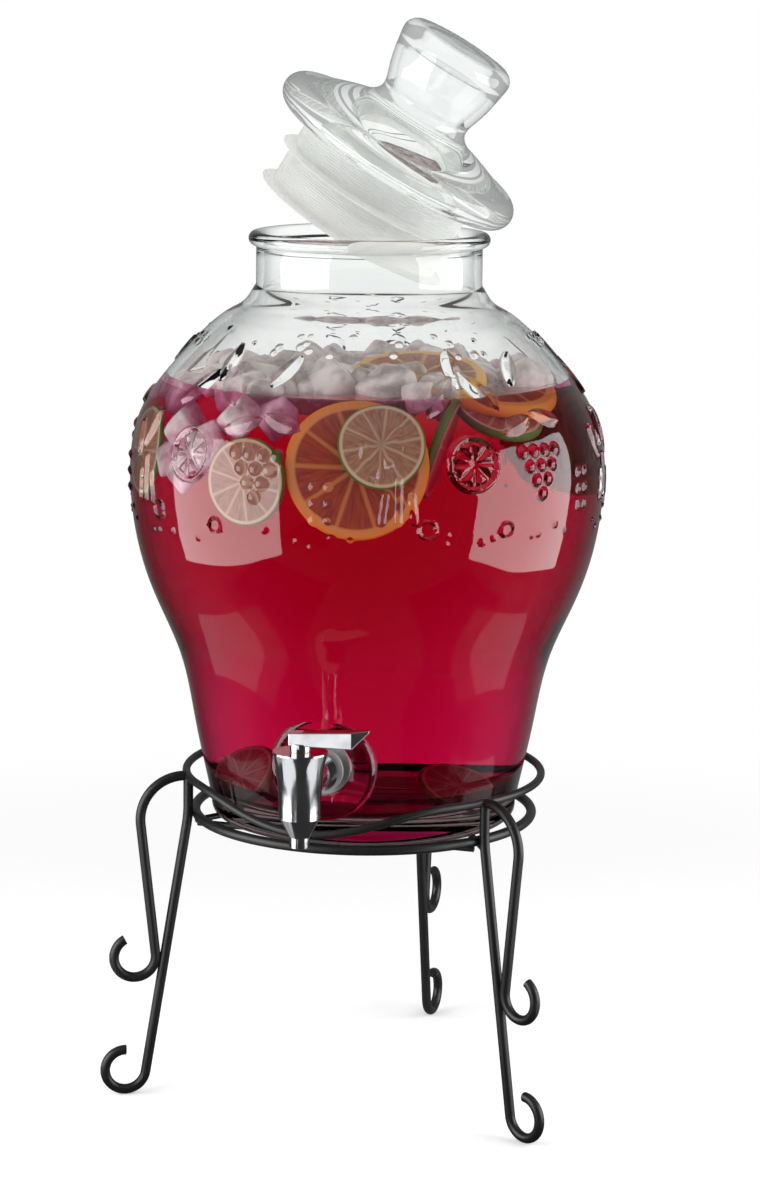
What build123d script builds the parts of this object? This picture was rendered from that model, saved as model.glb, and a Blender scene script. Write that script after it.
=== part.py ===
from build123d import *
import os
from math import asin, atan2, cos, degrees, hypot, radians, sin, sqrt

os.makedirs("parts", exist_ok=True)

# Frame: millimetres, +Z up, the jar's axis on Z, the table at Z = 0.
# The tap points to -Y, and the open lid leans towards +X.

# Stand wires
WIRE_D = 5.0              # legs, scrolls and base ring
BAR_D = 3.2               # support bars under the jar
GUARD_WIRE_D = 4.0        # wavy ring round the foot of the jar
WELD = 0.4                # how far one wire sinks into the next at a weld
FRONT = 270               # direction of the tap round the axis, in degrees
STAND_TURN = -5.3         # the stand's front is turned this far from the tap
LEG_ANGLES = {"front_left": 210, "front_right": 330, "back": 90}
BAR_ANGLES = {"front": FRONT, "right": 30, "left": 150}
BASE_RING_R = 85.4
BASE_RING_Z = 145.3
GUARD_RING_R = 90.0
GUARD_RING_Z = 165.5
GUARD_DIP = 12.5          # the ring drops this far below the tap
GUARD_DIP_HALF = 48.0     # degrees either side of the stand's front
BAR_OFFSET = 45.0         # the support bars' distance from the axis
BAR_Z = BASE_RING_Z - (WIRE_D + BAR_D) / 2 + WELD
KNEE_BEND_R = 60.0
FOOT_CURL_R = 10.4
FOOT_CURL = (122.1, WIRE_D / 2 + FOOT_CURL_R)
FOOT_TIP_ANGLE = 92.0
SCROLL_BEND_R = 22.0
SCROLL_SHOULDER_R = 116.8
SCROLL_CURL_R = 10.6
SCROLL_CURL = (117.2, 72.0)
SCROLL_TIP_ANGLE = 62.0

# Glass jar
JAR_GAP = 0.2             # between the jar's foot and the support bars
JAR_FOOT_Z = BAR_Z + BAR_D / 2 + JAR_GAP
JAR_WALL = 4.0
JAR_FLOOR = 13.6          # from the foot up to the inside floor
JAR_FOOT_R = 70.6
JAR_HEEL = (76.95, 151.0)
HEEL_LEAN = (0.19, 1)
PUNT_R = 62.0
PUNT_RISE = 8.0
JAR_INNER_HEEL_R = 9.0
INNER_HEEL_TRIM = 0.066   # share of the side's length that the inner heel takes
JAR_SIDE = [(85.2, 190.0), (93.2, 227.0), (107.2, 260.0), (118.0, 309.0),
            (112.0, 351.0), (94.5, 375.0), (66.0, 401.0)]
NECK_R = 56.0
NECK_START_Z = 412.0
RIM_Z = 438.0
RIM_R = 60.0
RIM_BEAD_H = 6.8
RIM_LIP_R = 3.5

# Tap boss on the jar and the hole through it
TAP_Z = 185.5
BOSS_R = 26.0
BOSS_FACE_Y = -88.5
BOSS_EDGE_R = 3.0
INNER_SEAT_R = 14.0
INNER_SEAT_Y = -81.6
BOSS_ROOT_Y = -67.6        # well inside the jar, before the hollow is cut
SHANK_HOLE_R = 8.3

# Tap
TAP_Y = -130.0
THREAD_R = 7.8
THREAD_END_Y = -64.0
SHANK_R = 7.4
SHANK_BORE_R = 6.0
FLANGE_R = 9.4
FLANGE_T = 3.5
WASHER_R = 11.0
WASHER_T = 2.5
SEAL_R = 13.0
SEAL_T = 2.0
SLIP_R = 12.5
SLIP_T = 1.0
NUT_ACROSS_FLATS = 22.0
NUT_T = 8.0
TAP_TOP_Z = 204.0
TAP_BRIM = 0.8
TAP_SEAM_Z = 172.0
TAP_BELL = [(10.0, TAP_SEAM_Z), (10.4, 186.0), (11.4, 195.5), (13.1, TAP_TOP_Z - TAP_BRIM)]
BELL_FLARE = (0.35, 1)
CHAMBER_R = 7.0
RUN = 0.05                # running clearance of the plug in its chamber
BONNET_R = 9.5
BONNET_T = 3.8
SPIGOT_TOP_Z = 175.5
SPIGOT_BORE_R = 4.5
SPOUT_END_Z = 157.8
SPOUT_R = 4.9
SPOUT_CONE_Z = 162.6
SPOUT_BORE_R = 3.4
NOZZLE_TOP_R = 9.8
PLUG_BOTTOM_Z = 176.1
PORT_R = 3.0
STEM_R = 4.4
RING_MINOR = 0.85
RING_GROOVE_H = 1.9
RING_ZS = {"lower": 178.0, "upper": 195.6}
LEVER_LOW_Z = 207.0
LEVER_HUB_TOP_Z = 213.2
LEVER_TIP_Z = 215.6
LEVER_TIP_T = 1.0
LEVER_W = 8.0
LEVER_HUB_R = 4.9
LEVER_TIP_X = 33.0
LEVER_BEVEL_X = 25.5
LEVER_TIP_W = 3.5
LEVER_HUB_GAP = 0.2
LEVER_EDGE_R = 0.9
TANG = 5.2                # square end of the plug's stem, pressed into the lever
TANG_TOP_Z = 212.0

# Glass lid, drawn seated on the rim: heights are above its flange's underside
LID_GAP = 0.3
LID_R = 65.0
LID_EDGE_R = 7.8
LID_SLOPE = (-1, 0.35)
LID_DOME = [(48.0, 18.9), (36.0, 23.3), (28.2, 26.2)]
KNOB_WAIST = (23.8, 30.7)
KNOB_STEM = (25.2, 39.6)
KNOB_R = 29.6
KNOB_SHOULDER_H = 60.6
KNOB_FLARE = (0.15, 1)
KNOB_TOP_H = 68.6
KNOB_TOP_R = 21.0
KNOB_CROWN = 1.0          # rise of the knob's top inside that radius
HOLLOW_FLARE = (0.3, -1)
LID_WALL = 5.0
SKIRT_R = 42.5
SKIRT_WALL = 4.0
SKIRT_DEPTH = 24.4

# Soft collar pushed over the lid's skirt
COLLAR_R = 46.0
COLLAR_DEPTH = 37.4
COLLAR_LEDGE_R = 40.5
FIN_R = 51.4
FIN_ROOT_T = 2.2
FIN_TIP_T = 0.9
FIN_DEPTHS = [16.1, COLLAR_DEPTH - FIN_ROOT_T / 2]

# The lid leans on the rim, turned about this line beside the neck
LEAN_ANGLE = 31.5
LEAN_X = 64.0
LEAN_Z = 437.0


def rod(radius, y0, y1):
    """Cylinder on the shank's axis, from y0 to y1."""
    return extrude(Plane((0, y1, TAP_Z), (1, 0, 0), (0, -1, 0)) * Circle(radius), y1 - y0)


def ring(outer, inner, y0, y1):
    return rod(outer, y0, y1) - rod(inner, y0, y1)


def turned(*outline):
    """Solid of revolution about Z of a closed outline in radius and height."""
    edges = [edge for stretch in outline for edge in stretch.edges()]
    return revolve(Plane.XZ * make_face(edges), Axis.Z)


def bent_wire(path, diameter):
    """Round wire along a path in the XZ plane."""
    route = Wire((Plane.XZ * path).edges())
    return sweep((route ^ 0) * Circle(diameter / 2), path=route)


def inner_touch(point, centre, radius):
    """Angle on a circle where a line from above touches its side nearer the axis."""
    dx = point[0] - centre[0]
    dz = point[1] - centre[1]
    return degrees(atan2(dz, dx)) + 90 - degrees(asin(radius / hypot(dx, dz)))


def on_circle(centre, radius, angle):
    return (centre[0] + radius * cos(radians(angle)), centre[1] + radius * sin(radians(angle)))


def curled_wire(start, corner, bend_r, centre, curl_r, tip_angle):
    """Wire that bends once, runs straight, and ends in a curl turned outwards."""
    touch = inner_touch(corner, centre, curl_r)
    shaft = FilletPolyline(start, corner, on_circle(centre, curl_r, touch), radius=bend_r)
    curl = CenterArc(centre, curl_r, touch, tip_angle + 360 - touch)
    return bent_wire(shaft + curl, WIRE_D)


def stand_place(angle):
    return Rot(0, 0, angle + STAND_TURN)


def leg(angle):
    """Upright rod from the guard ring, past the base ring, to a curled foot."""
    radius = BASE_RING_R + WIRE_D - WELD
    top = (radius, GUARD_RING_Z - GUARD_WIRE_D / 2 + WELD)
    knee = (radius, BASE_RING_Z)
    wire = curled_wire(top, knee, KNEE_BEND_R, FOOT_CURL, FOOT_CURL_R, FOOT_TIP_ANGLE)
    return stand_place(angle) * wire


def scroll(angle):
    """Ornamental rod that arches out from the guard ring and curls beside the leg."""
    start = (GUARD_RING_R + GUARD_WIRE_D / 2 - WELD, GUARD_RING_Z)
    shoulder = (SCROLL_SHOULDER_R, GUARD_RING_Z)
    wire = curled_wire(start, shoulder, SCROLL_BEND_R, SCROLL_CURL, SCROLL_CURL_R, SCROLL_TIP_ANGLE)
    return stand_place(angle) * wire


def base_ring():
    return Pos(0, 0, BASE_RING_Z) * Torus(BASE_RING_R, WIRE_D / 2)


def guard_ring():
    """Level ring with a dip at the front that leaves room for the tap."""
    start = FRONT + GUARD_DIP_HALF
    level = 360 - 2 * GUARD_DIP_HALF
    section = Plane.XZ * Pos(GUARD_RING_R, GUARD_RING_Z) * Circle(GUARD_WIRE_D / 2)
    level_part = Rot(0, 0, start) * revolve(section, Axis.Z, level)
    steps = [(-1, 0), (-0.5, 0.5), (0, 1), (0.5, 0.5), (1, 0)]
    points = []
    for along, depth in steps:
        x, y = on_circle((0, 0), GUARD_RING_R, FRONT + along * GUARD_DIP_HALF)
        points.append((x, y, GUARD_RING_Z - depth * GUARD_DIP))
    ends = [on_circle((0, 0), 1, FRONT + side * GUARD_DIP_HALF + 90) for side in (-1, 1)]
    dip = Wire(Spline(*points, tangents=[(*end, 0) for end in ends]))
    dip_part = sweep((dip ^ 0) * Circle(GUARD_WIRE_D / 2), path=dip)
    return Rot(0, 0, STAND_TURN) * (level_part + dip_part)


def support_bar(angle):
    """Straight wire under the base ring, welded to it at both ends, that the jar's foot stands on."""
    half = sqrt(BASE_RING_R ** 2 - BAR_OFFSET ** 2)
    bar = Pos(BAR_OFFSET, 0, BAR_Z) * Rot(90, 0, 0) * Cylinder(BAR_D / 2, 2 * half)
    return stand_place(angle) * bar


def jar_side(inset=0):
    """Side of the jar from the heel to the foot of the neck, set in by inset."""
    points = [JAR_HEEL, *JAR_SIDE, (NECK_R, NECK_START_Z)]
    ends = [HEEL_LEAN, (0, 1)]
    outside = Spline(*points, tangents=ends)
    moved = []
    for r, z in points:
        along = outside % outside.param_at_point(Vector(r, z))
        moved.append((r - inset * along.Y, z + inset * along.X))
    return Spline(*moved, tangents=ends)


def jar_outside():
    side = jar_side()
    punt_top = (0, JAR_FOOT_Z + PUNT_RISE)
    punt_edge = (PUNT_R, JAR_FOOT_Z)
    foot = (JAR_FOOT_R, JAR_FOOT_Z)
    bead_low = (NECK_R, RIM_Z - RIM_BEAD_H)
    bead_top = (RIM_R - RIM_BEAD_H / 2, RIM_Z)
    top = (0, RIM_Z)
    outline = [
        TangentArc(punt_top, punt_edge, tangent=(1, 0)),
        Line(punt_edge, foot),
        TangentArc(foot, JAR_HEEL, tangent=(1, 0)),
        side,
        Line((NECK_R, NECK_START_Z), bead_low),
        ThreePointArc(bead_low, (RIM_R, RIM_Z - RIM_BEAD_H / 2), bead_top),
        Line(bead_top, top),
        Line(top, punt_top),
    ]
    return turned(*outline)


def jar_cavity():
    """Inside of the jar: the side set in by the wall, the floor, and the neck's bore."""
    floor_z = JAR_FOOT_Z + JAR_FLOOR
    above_rim = RIM_Z + JAR_WALL
    wall = jar_side(JAR_WALL).trim(INNER_HEEL_TRIM, 1)
    low = wall @ 0
    high = wall @ 1
    lean_out = (wall % 0).X / (wall % 0).Y
    corner = (low.X - lean_out * (low.Y - floor_z), floor_z)
    floor = FilletPolyline((0, floor_z), corner, (low.X, low.Y), radius=JAR_INNER_HEEL_R)
    bore = Polyline((high.X, high.Y), (high.X, above_rim), (0, above_rim), (0, floor_z))
    return turned(wall, floor, bore)


def jar():
    """Blown and pressed glass body with a flat boss where the tap goes through."""
    boss = rod(BOSS_R, BOSS_FACE_Y, BOSS_ROOT_Y)
    boss = fillet(boss.edges().group_by(Axis.Y)[0], BOSS_EDGE_R)
    body = jar_outside() + boss - jar_cavity()
    body -= rod(SHANK_HOLE_R, BOSS_FACE_Y, BOSS_ROOT_Y)
    body -= rod(INNER_SEAT_R, INNER_SEAT_Y, BOSS_ROOT_Y)
    top_edges = body.edges().filter_by(GeomType.CIRCLE).group_by(Axis.Z)[-1]
    lip = top_edges.sort_by(SortBy.RADIUS)[0]
    return fillet(lip, RIM_LIP_R)


def upright(radius, z0, z1):
    """Cylinder on the tap's upright axis."""
    return Pos(0, TAP_Y, z0) * Cylinder(radius, z1 - z0, align=(Align.CENTER, Align.CENTER, Align.MIN))


def tap_body():
    """Bell-shaped valve body, its shank, flange and threaded stem in one casting."""
    rim = (TAP_BELL[-1][0], TAP_TOP_Z)
    bell = Spline(*TAP_BELL, tangents=[(0, 1), BELL_FLARE])
    inside = Polyline(TAP_BELL[-1], rim, (0, TAP_TOP_Z), (0, TAP_SEAM_Z), TAP_BELL[0])
    body = Pos(0, TAP_Y, 0) * turned(bell, inside)
    flange_y = BOSS_FACE_Y - WASHER_T
    body += rod(SHANK_R, TAP_Y, flange_y)
    body += rod(FLANGE_R, flange_y - FLANGE_T, flange_y)
    body += rod(THREAD_R, flange_y, THREAD_END_Y)
    body -= upright(CHAMBER_R, TAP_SEAM_Z, TAP_TOP_Z)
    body -= upright(BONNET_R, TAP_TOP_Z - BONNET_T, TAP_TOP_Z)
    return body - rod(SHANK_BORE_R, TAP_Y, THREAD_END_Y)


def tap_nozzle():
    """Tapered outlet pressed into the foot of the valve body."""
    outline = Polyline(
        (SPOUT_BORE_R, SPOUT_END_Z), (SPOUT_R, SPOUT_END_Z), (SPOUT_R, SPOUT_CONE_Z),
        (NOZZLE_TOP_R, TAP_SEAM_Z), (CHAMBER_R, TAP_SEAM_Z), (CHAMBER_R, SPIGOT_TOP_Z),
        (SPIGOT_BORE_R, SPIGOT_TOP_Z), (SPIGOT_BORE_R, TAP_SEAM_Z),
        (SPOUT_BORE_R, SPOUT_CONE_Z), close=True)
    return Pos(0, TAP_Y, 0) * turned(outline)


def plug_ring(z):
    groove_r = CHAMBER_R - RUN - RING_MINOR
    return Pos(0, TAP_Y, z) * Torus(groove_r, RING_MINOR)


def valve_plug():
    """Plug with a side port that turns to meet the shank, and a square-ended stem."""
    plug_r = CHAMBER_R - RUN
    plug_top = TAP_TOP_Z - BONNET_T - RUN
    plug = upright(plug_r, PLUG_BOTTOM_Z, plug_top)
    plug += upright(STEM_R, plug_top, LEVER_LOW_Z)
    plug += Pos(0, TAP_Y, LEVER_LOW_Z) * Box(
        TANG, TANG, TANG_TOP_Z - LEVER_LOW_Z, align=(Align.CENTER, Align.CENTER, Align.MIN))
    plug -= upright(PORT_R, PLUG_BOTTOM_Z, TAP_Z)
    plug -= Pos(-plug_r / 2, TAP_Y, TAP_Z) * Rot(0, 90, 0) * Cylinder(PORT_R, plug_r)
    for z in RING_ZS.values():
        low = z - RING_GROOVE_H / 2
        groove = upright(plug_r, low, low + RING_GROOVE_H)
        plug -= groove - upright(plug_r - 2 * RING_MINOR, low, low + RING_GROOVE_H)
    return plug


def bonnet():
    """Ring screwed into the top of the body that keeps the plug down."""
    top = TAP_TOP_Z
    return upright(BONNET_R, top - BONNET_T, top) - upright(STEM_R + RUN, top - BONNET_T, top)


def tap_lever():
    """Flat lever with a short round hub, bevelled below and in front at its tip."""
    side = Polyline(
        (-LEVER_HUB_R, LEVER_LOW_Z), (LEVER_BEVEL_X, LEVER_LOW_Z),
        (LEVER_TIP_X, LEVER_TIP_Z - LEVER_TIP_T), (LEVER_TIP_X, LEVER_TIP_Z),
        (-LEVER_HUB_R, LEVER_HUB_TOP_Z), close=True)
    plan = Polyline(
        (-LEVER_HUB_R, -LEVER_W / 2), (LEVER_BEVEL_X, -LEVER_W / 2),
        (LEVER_TIP_X, LEVER_W / 2 - LEVER_TIP_W), (LEVER_TIP_X, LEVER_W / 2),
        (-LEVER_HUB_R, LEVER_W / 2), close=True)
    arm = extrude(Plane.XZ * make_face(side), LEVER_W / 2, both=True)
    arm &= extrude(make_face(plan), LEVER_TIP_Z)
    arm = fillet(arm.edges(), LEVER_EDGE_R / 2)
    arm = Pos(0, TAP_Y, 0) * arm
    arm += upright(LEVER_HUB_R, TAP_TOP_Z + LEVER_HUB_GAP, LEVER_LOW_Z + LEVER_EDGE_R)
    arm -= upright(STEM_R, TAP_TOP_Z, LEVER_LOW_Z)
    return arm - Pos(0, TAP_Y, LEVER_LOW_Z) * Box(
        TANG, TANG, TANG_TOP_Z - LEVER_LOW_Z, align=(Align.CENTER, Align.CENTER, Align.MIN))


def front_washer():
    return ring(WASHER_R, THREAD_R, BOSS_FACE_Y - WASHER_T, BOSS_FACE_Y)


def inner_seal():
    return ring(SEAL_R, THREAD_R, INNER_SEAT_Y, INNER_SEAT_Y + SEAL_T)


def slip_washer():
    y = INNER_SEAT_Y + SEAL_T
    return ring(SLIP_R, THREAD_R, y, y + SLIP_T)


def lock_nut():
    y = INNER_SEAT_Y + SEAL_T + SLIP_T
    hexagon = RegularPolygon(NUT_ACROSS_FLATS / 2, 6, major_radius=False) - Circle(THREAD_R)
    return extrude(Plane((0, y, TAP_Z), (1, 0, 0), (0, 1, 0)) * hexagon, NUT_T)


def lean(piece):
    """Move a piece from seated on the rim to leaning against it."""
    return Pos(LEAN_X, 0, LEAN_Z) * Rot(0, LEAN_ANGLE, 0) * Pos(-LEAN_X, 0, -LEAN_Z) * piece


def seated(*outline):
    """Piece turned from an outline whose zero height is the lid's seat on the rim."""
    return Pos(0, 0, RIM_Z + LID_GAP) * turned(*outline)


def lid_glass():
    """Thick rounded lid with a hollow knob and a skirt that goes into the neck."""
    skirt_low = (SKIRT_R, -SKIRT_DEPTH)
    edge_low = (LID_R - LID_EDGE_R, 0)
    edge_top = (LID_R - LID_EDGE_R, 2 * LID_EDGE_R)
    shoulder = (KNOB_R, KNOB_SHOULDER_H)
    crown = (KNOB_TOP_R, KNOB_TOP_H - KNOB_CROWN)
    inner_r = SKIRT_R - SKIRT_WALL
    inner_waist = (KNOB_WAIST[0] - LID_WALL, KNOB_WAIST[1])
    inner_shoulder = (KNOB_R - LID_WALL, KNOB_SHOULDER_H - LID_WALL)
    inner_top = (0, KNOB_TOP_H - LID_WALL)
    outline = [
        Polyline((inner_r, -SKIRT_DEPTH), skirt_low, (SKIRT_R, 0), edge_low),
        ThreePointArc(edge_low, (LID_R, LID_EDGE_R), edge_top),
        Spline(edge_top, *LID_DOME, KNOB_WAIST, KNOB_STEM, shoulder, tangents=[LID_SLOPE, KNOB_FLARE]),
        TangentArc(shoulder, crown, tangent=KNOB_FLARE),
        TangentArc((0, KNOB_TOP_H), crown, tangent=(1, 0)),
        Line((0, KNOB_TOP_H), inner_top),
        Spline(inner_top, inner_shoulder, inner_waist, (inner_r, LID_EDGE_R),
               tangents=[(1, 0), HOLLOW_FLARE]),
        Line((inner_r, LID_EDGE_R), (inner_r, -SKIRT_DEPTH)),
    ]
    return lean(seated(*outline))


def fin(depth):
    """Thin sealing fin that tapers to its tip."""
    z = -depth
    root = COLLAR_R - FIN_TIP_T
    outline = Polyline((root, z - FIN_ROOT_T / 2), (FIN_R, z - FIN_TIP_T / 2), (FIN_R, z + FIN_TIP_T / 2),
                       (root, z + FIN_ROOT_T / 2), close=True)
    return seated(outline)


def lid_collar():
    """Soft sleeve on the lid's skirt, with a ledge under the glass and two fins."""
    outline = Polyline(
        (SKIRT_R, -LID_GAP), (COLLAR_R, -LID_GAP), (COLLAR_R, -COLLAR_DEPTH),
        (COLLAR_LEDGE_R, -COLLAR_DEPTH), (COLLAR_LEDGE_R, -SKIRT_DEPTH),
        (SKIRT_R, -SKIRT_DEPTH), close=True)
    sleeve = seated(outline)
    for depth in FIN_DEPTHS:
        sleeve += fin(depth)
    return lean(sleeve)


nodes = {
    "base_ring": base_ring(),
    "guard_ring": guard_ring(),
    "jar": jar(),
    "tap_body": tap_body(),
    "tap_nozzle": tap_nozzle(),
    "tap_bonnet": bonnet(),
    "valve_plug": valve_plug(),
    "tap_lever": tap_lever(),
    "front_washer": front_washer(),
    "inner_seal": inner_seal(),
    "slip_washer": slip_washer(),
    "lock_nut": lock_nut(),
    "lid_glass": lid_glass(),
    "lid_collar": lid_collar(),
}
for place, angle in LEG_ANGLES.items():
    nodes[f"leg_{place}"] = leg(angle)
    nodes[f"scroll_{place}"] = scroll(angle)
for place, angle in BAR_ANGLES.items():
    nodes[f"support_bar_{place}"] = support_bar(angle)
for place, z in RING_ZS.items():
    nodes[f"plug_ring_{place}"] = plug_ring(z)

for node, shape in nodes.items():
    export_step(shape, f"parts/{node}.step")
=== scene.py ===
import math
import random

import bmesh
import bpy
import numpy as np
from mathutils import Matrix, Vector
from mathutils.geometry import interpolate_bezier


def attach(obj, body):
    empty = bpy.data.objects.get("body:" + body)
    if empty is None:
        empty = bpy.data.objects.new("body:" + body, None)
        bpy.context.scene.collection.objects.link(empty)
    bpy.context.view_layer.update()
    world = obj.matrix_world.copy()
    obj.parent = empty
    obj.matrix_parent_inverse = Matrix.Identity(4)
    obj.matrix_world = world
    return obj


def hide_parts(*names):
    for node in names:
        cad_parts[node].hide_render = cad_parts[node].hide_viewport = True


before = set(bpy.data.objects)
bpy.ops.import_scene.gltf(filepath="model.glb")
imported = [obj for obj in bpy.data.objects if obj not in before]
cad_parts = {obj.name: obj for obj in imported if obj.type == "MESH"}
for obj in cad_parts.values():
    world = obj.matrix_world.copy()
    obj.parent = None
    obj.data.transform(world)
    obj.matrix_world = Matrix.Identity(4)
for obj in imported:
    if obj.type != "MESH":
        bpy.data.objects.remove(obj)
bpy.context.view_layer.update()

# The object's lengths and the camera's place are millimetres and angles are degrees, turned to metres and
# radians where they are used. The rest of the studio is in metres.
# The jar's axis is Z, the tap points to -Y and the open lid leans towards +X.
MM = 0.001

# Angles between faces above which an edge is shaded sharp: glass and fittings, soft things
SHARP = 35
SOFT_SHARP = 60

# Glass jar: outside of its side from the heel to the foot of the neck, as radius and height
JAR_SIDE = [(76.95, 151), (79.19, 161.97), (81.61, 172.91), (83.97, 183.86), (86.09, 194.86),
            (88.07, 205.88), (90.35, 216.85), (93.41, 227.62), (97.48, 238.05), (102.08, 248.26),
            (106.59, 258.51), (110.48, 269.01), (113.57, 279.78), (115.87, 290.74), (117.4, 301.83),
            (118.2, 313), (118.16, 324.2), (116.92, 335.32), (114.04, 346.13), (109.16, 356.19),
            (102.68, 365.32), (95.47, 373.89), (88.09, 382.31), (80.28, 390.34), (71.62, 397.42),
            (62.06, 403.25), (56, 412)]
JAR_WALL = 4.0
JAR_FOOT_Z = 143.4
JAR_FOOT_R = 70.6
JAR_HEEL_R = 6.45
JAR_HEEL_TOP = 10.2
JAR_FLOOR_Z = 157.0
PUNT_RISE = 8.0
PUNT_ARC_R = 244.25
PUNT_ARC_END = 75.3
INNER_HEEL = (66.75, 166.0)
INNER_HEEL_R = 9.0
INNER_HEEL_TOP = -12.5
FLOOR_ROWS = [52, 30, 0]
NECK_R = 56.0
NECK_FOOT_Z = 411
NECK_ROWS = [418, 425, 430.2]
INNER_NECK_ROWS = [426, 418]
RIM_BEAD = (56.3, 434.6)
RIM_LIP = (55.5, 434.5)
RIM_ARC_R = 3.5

# Rows of faces on the jar: steps round it, and the distance between rows on the plain wall, in the ornament's
# band and where the shoulder turns into the neck
JAR_STEPS = 210
PLAIN_ROW = 5.5
BAND_ROW = 2.75
SHOULDER_ROW = 1.5
SHOULDER_Z = 400
ROW_GAP = 2

# Boss on the jar's front and the hole in it for the tap: depths go from the boss's face into the jar
TAP_Z = 185.5
BOSS_R = 26.0
BOSS_FACE_Y = -88.5
BOSS_EDGE_R = 3.0
BOSS_DEPTH = 9
BOSS_STEPS = 96
SEAT_R = 14.0
SEAT_Y = -81.6
SHANK_HOLE_R = 8.3
HOLE_START = -8
HOLE_END = 16
HOLE_STEPS = 64

# Raised ornament on the jar's upper belly and shoulder
BELLY_R = 118
RELIEF_LOW_Z = 288.0
RELIEF_HIGH_Z = 398.0
RELIEF_REPEATS = 5
RELIEF_TURN = 21.0
RELIEF_MARGIN = 2.5
RELIEF_CUTS = 3
LEAF_TAPER = 0.75
LEAF_ROUND = 0.8
CITRUS_SEGMENTS = 8
CITRUS_RIM = 1.6
CITRUS_INSET = 3.6
CITRUS_GAP = 0.5
CITRUS_SOFT = 1.4
CITRUS_CORE = 1.5
CITRUS_PAD = 0.85

# Drink: its own gloss begins between two depths below the level, and it has none against the glass. Its edge
# creeps up the glass, as distances in from the glass and above the level
LEVEL_Z = 365.0
OPEN_TOP = (0.3, 0.1)
DRINK_INTO_GLASS = 0.2
DRINK_STEPS = 192
DRINK_ROW = 4
CREEP_TOP = 1
CREEP = [(1.6, 0.5), (3.2, 0.15), (6, 0)]

# Lid, drawn seated: heights are above the flange's underside
LID_SEAT_Z = 438.3
LID_LEAN = 31.5
LID_PIVOT = (64.0, 0.0, 437.0)
LID_STEPS = 160
LID_EDGE_AT = 57.2
LID_EDGE_R = 7.8
LID_SKIRT = [(38.9, -24.1), (39.4, -24.4), (41.6, -24.4), (42.2, -24.2), (42.5, -23.6), (42.5, -12),
             (42.5, -1.2), (42.9, -0.3), (44, 0), (50, 0)]
LID_TOP_ROW = 1.6
LID_TOP = [(57.2, 15.6), (53.64, 16.85), (50.08, 18.13), (46.54, 19.46), (43.02, 20.82), (39.48, 22.13),
           (35.9, 23.33), (32.28, 24.44), (28.8, 25.87), (25.7, 28.02), (23.66, 31.14), (23.71, 34.88),
           (24.81, 38.49), (26, 42.08), (27, 45.72), (27.8, 49.41), (28.46, 53.13), (29.04, 56.86),
           (29.6, 60.6), (29.55, 62.81), (28.75, 64.88), (27.3, 66.55), (25.36, 67.63), (23.18, 68),
           (21, 67.9), (15.76, 68.2), (10.51, 68.4), (5.26, 68.55), (0, 68.6)]
LID_HOLLOW = [(0, 63.6), (9.73, 63.4), (17, 62.4), (22, 59.5), (24.3, 54.4), (23.9, 49.57), (22.9, 44.83),
              (21.4, 40.19), (20, 36), (19.4, 32.5), (20.6, 30.2), (24.5, 27.6), (29, 24), (32.8, 19.6),
              (35.6, 14.6), (37.5, 10), (38.4, 5.5), (38.5, 0), (38.5, -12), (38.5, -23.4)]
LID_HOLLOW_ROW = 2.2

# Soft collar on the lid's skirt, from its top edge down the outside and back up the inside
COLLAR_R = 46
COLLAR_STEPS = 120
COLLAR_SHARP = 50
COLLAR_TOP = [(42.5, -0.6), (42.9, -0.3), (45.4, -0.3), (COLLAR_R, -0.9)]
UPPER_FIN = [(COLLAR_R, -14.6), (47.2, -15.2), (51, -15.7), (51.4, -16.1), (51, -16.5), (47.2, -17),
             (COLLAR_R, -17.6)]
LOWER_FIN = [(COLLAR_R, -34.8), (47.2, -35.5), (51, -36), (51.4, -36.4), (51, -36.8), (47, -37.2),
             (45.4, -37.4)]
COLLAR_INSIDE = [(41, -37.4), (40.5, -36.9), (40.5, -24.9), (40.9, -24.4), (42.5, -24.4)]
# Fine ridges above and below the upper fin: where they start, the height they take, and how many
UPPER_RIDGES = (-2.2, 11.2, 9)
LOWER_RIDGES = (-19, 14.5, 12)
RIDGE = 0.14
ROWS_PER_RIDGE = 4


def mm(*values):
    """Point in metres from millimetres."""
    return Vector(values) * MM


def curve_through(points, step):
    """Points about a step apart on a smooth curve through the given ones."""
    knots = [Vector(p) for p in points]
    tangents = []
    for i in range(len(knots)):
        before = knots[max(i - 1, 0)]
        after = knots[min(i + 1, len(knots) - 1)]
        tangents.append((after - before).normalized())
    line = [tuple(knots[0])]
    for (a, b), (ta, tb) in zip(zip(knots, knots[1:]), zip(tangents, tangents[1:])):
        length = (b - a).length
        count = max(round(length / step), 1) + 1
        run = interpolate_bezier(a.to_3d(), (a + ta * length / 3).to_3d(),
                                 (b - tb * length / 3).to_3d(), b.to_3d(), count)
        line += [(p.x, p.y) for p in run[1:]]
    return line


def arc(centre, radius, start, end, count):
    """Points on an arc between two angles."""
    angles = [math.radians(start + (end - start) * i / count) for i in range(count + 1)]
    return [(centre[0] + radius * math.cos(a), centre[1] + radius * math.sin(a)) for a in angles]


def set_in(line, depth):
    """A line of (radius, height) points moved towards the axis, square to itself."""
    moved = []
    for i, point in enumerate(line):
        before = Vector(line[max(i - 1, 0)])
        after = Vector(line[min(i + 1, len(line) - 1)])
        along = (after - before).normalized()
        moved.append((point[0] - depth * along.y, point[1] + depth * along.x))
    return moved


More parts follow.
